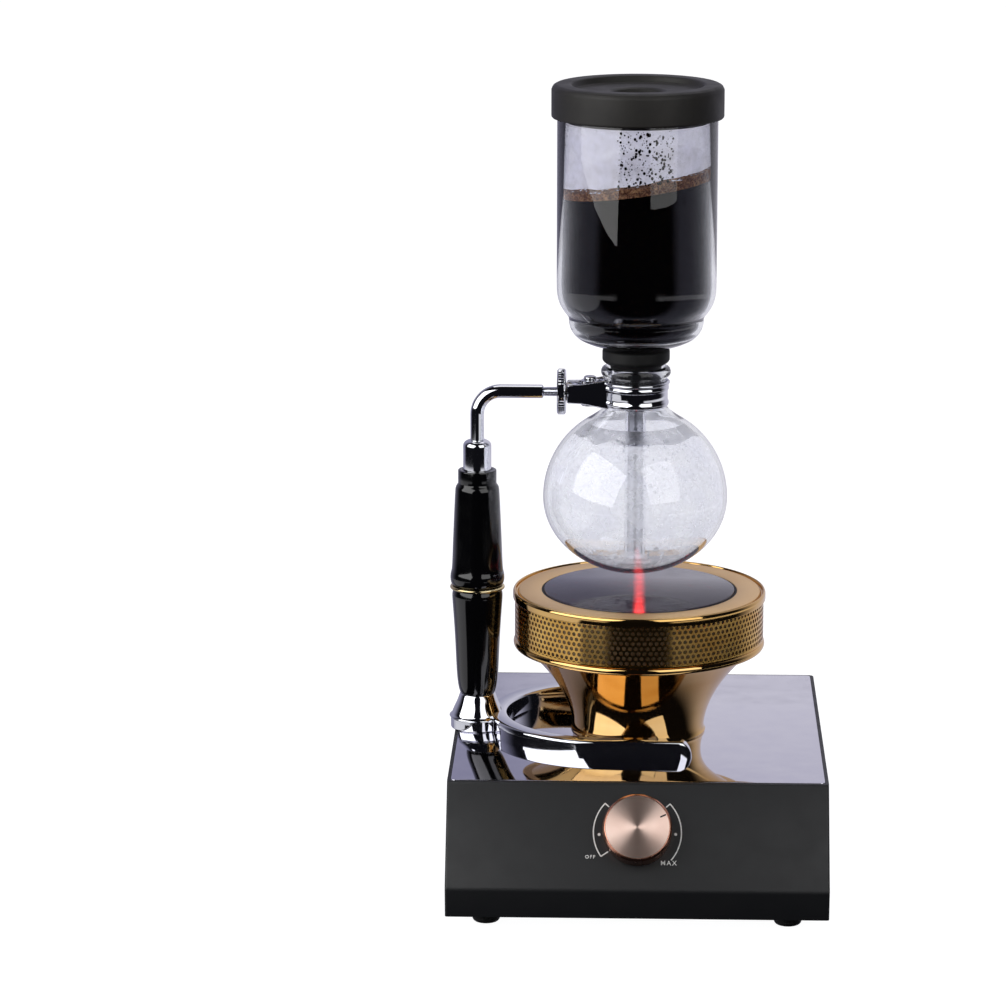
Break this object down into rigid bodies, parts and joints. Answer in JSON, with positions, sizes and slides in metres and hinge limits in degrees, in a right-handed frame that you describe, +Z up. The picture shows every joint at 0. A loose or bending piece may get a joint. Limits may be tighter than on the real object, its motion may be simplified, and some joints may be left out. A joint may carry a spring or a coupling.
{
  "type": "siphon coffee maker",
  "caption": "Vacuum coffee maker: glass chamber over a glass bulb, held by a hooked stand over a perforated beam heater on a mirror-topped box with a dimmer knob.",
  "frame": {"origin": "on the counter, under the middle of the object's footprint", "axes": "+Z up, +X to the user's right, -Y towards the user and the knob"},
  "size_m": [0.1938, 0.2432, 0.4076],
  "materials": {
    "black_enamel": "satin black stove enamel on folded steel sheet",
    "mirror_steel": "mirror-polished stainless sheet",
    "galvanised": "zinc-plated steel sheet",
    "screw_steel": "zinc-plated screws and nuts",
    "foot_rubber": "matt moulded rubber",
    "rose_gold": "rose-gold anodised, spun face and knurled rim",
    "shaft_steel": "turned steel",
    "pot_case": "moulded phenolic with plated tags",
    "circuit_board": "glass-fibre board with solder mask",
    "standoff_nylon": "nylon spacers",
    "sink_aluminium": "extruded aluminium",
    "black_epoxy": "moulded epoxy",
    "copper_winding": "enamelled copper wire on a ring core",
    "capacitor_case": "moulded case",
    "steatite": "unglazed steatite",
    "inlet_plastic": "moulded nylon",
    "pin_plate": "nickel-plated brass",
    "glass_sleeve": "braided glass sleeving",
    "wire_brown": "silicone-insulated wire",
    "wire_red": "silicone-insulated wire",
    "gold_polish": "polished gold-coloured plating on spun steel",
    "gold_mesh": "polished gold-coloured plating, round perforations",
    "gold_satin": "satin gold-coloured plating with a polished edge",
    "liner_aluminium": "bright rolled aluminium",
    "heater_glass": "dark-tinted flat glass-ceramic",
    "seal_black": "heat-proof seal",
    "reflector": "bright-dipped aluminium reflector",
    "quartz": "clear quartz tube, lit",
    "filament": "glowing tungsten coil",
    "chrome": "polished chrome plating",
    "brushed_nickel": "turned and nickel plated",
    "grip_black": "glossy moulded phenolic",
    "ring_brass": "polished pale brass ring",
    "clear_glass": "blown borosilicate glass",
    "stopper_rubber": "satin moulded silicone rubber",
    "lid_plastic": "fine-grained moulded plastic, brown-black",
    "filter_steel": "pressed stainless steel",
    "filter_cloth": "coffee-stained cotton flannel"
  },
  "bodies": {
    "base": {"housing": "black_enamel", "top_plate": "mirror_steel", "base_pan": "galvanised", "pan_screws": "screw_steel", "rubber_feet": "foot_rubber", "foot_screws": "screw_steel", "pot_body": "pot_case", "pot_nut": "screw_steel", "dimmer_board": "circuit_board", "board_standoffs": "standoff_nylon", "board_screws": "screw_steel", "heat_sink": "sink_aluminium", "triac": "black_epoxy", "filter_choke": "copper_winding", "film_capacitor": "capacitor_case", "terminal_block": "steatite", "power_inlet": "inlet_plastic", "inlet_pins": "pin_plate", "inlet_screws": "screw_steel", "lamp_leads": "glass_sleeve", "power_leads": "wire_brown", "control_leads": "wire_red", "funnel": "gold_polish", "throat_nut": "screw_steel", "bead_ring": "gold_polish", "mesh_band": "gold_mesh", "heat_liner": "liner_aluminium", "rim_ring": "gold_satin", "glass_disc": "heater_glass", "disc_gasket": "seal_black", "reflector_bowl": "reflector", "quartz_lamp": "quartz", "lamp_filament": "filament", "lamp_caps": "steatite", "lamp_brackets": "screw_steel"},
    "knob": {"knob": "rose_gold", "knob_grub_screw": "screw_steel", "pot_shaft": "shaft_steel"},
    "stand": {"stand_foot": "chrome", "foot_nut": "screw_steel", "bell_cap": "chrome", "tie_rod": "screw_steel", "lower_grip": "grip_black", "grip_ring": "ring_brass", "upper_grip": "grip_black", "ferrule": "chrome", "arm_rod": "chrome", "pivot_screw": "chrome", "lower_bulb": "clear_glass"},
    "wedge": {"clamp_wedge": "brushed_nickel"},
    "nut": {"clamp_nut": "chrome"},
    "front_jaw": {"front_jaw": "chrome"},
    "back_jaw": {"back_jaw": "chrome"},
    "chamber": {"upper_chamber": "clear_glass", "stem_stopper": "stopper_rubber", "filter_disc": "filter_steel", "filter_cloth": "filter_cloth", "filter_spring": "filter_steel", "bead_chain": "filter_steel"},
    "lid": {"lid": "lid_plastic"}
  },
  "joints": [
    {"name": "knob_turn", "type": "hinge", "parent": "base", "child": "knob", "pos_m": [0, -0.10334, 0.04808], "axis": [0, -0.851, 0.5251], "range_deg": [-61, 191]},
    {"name": "stand_slide", "type": "slide", "parent": "base", "child": "stand", "axis": [-1, 0, 0], "range_m": [0, 0.13]},
    {"name": "wedge_slide", "type": "slide", "parent": "stand", "child": "wedge", "axis": [-1, 0, 0], "range_m": [0, 0.002]},
    {"name": "nut_turn", "type": "hinge", "parent": "wedge", "child": "nut", "pos_m": [-0.0405, 0.01, 0.2488], "axis": [-1, 0, 0], "range_deg": [0, 720]},
    {"name": "front_jaw_swing", "type": "hinge", "parent": "stand", "child": "front_jaw", "pos_m": [-0.026, 0.01, 0.2488], "axis": [0, 0, -1], "range_deg": [0, 5]},
    {"name": "back_jaw_swing", "type": "hinge", "parent": "stand", "child": "back_jaw", "pos_m": [-0.026, 0.01, 0.2488], "axis": [0, 0, 1], "range_deg": [0, 5]},
    {"name": "chamber_lift", "type": "slide", "parent": "stand", "child": "chamber", "axis": [0, 0, 1], "range_m": [0, 0.115]},
    {"name": "lid_lift", "type": "slide", "parent": "chamber", "child": "lid", "axis": [0, 0, 1], "range_m": [0, 0.06]}
  ],
  "couplings": [
    {"joint": "nut_turn", "follows": "wedge_slide", "rad_per_m": 6283.2},
    {"joint": "front_jaw_swing", "follows": "wedge_slide", "rad_per_m": 43.633},
    {"joint": "back_jaw_swing", "follows": "wedge_slide", "rad_per_m": 43.633}
  ]
}
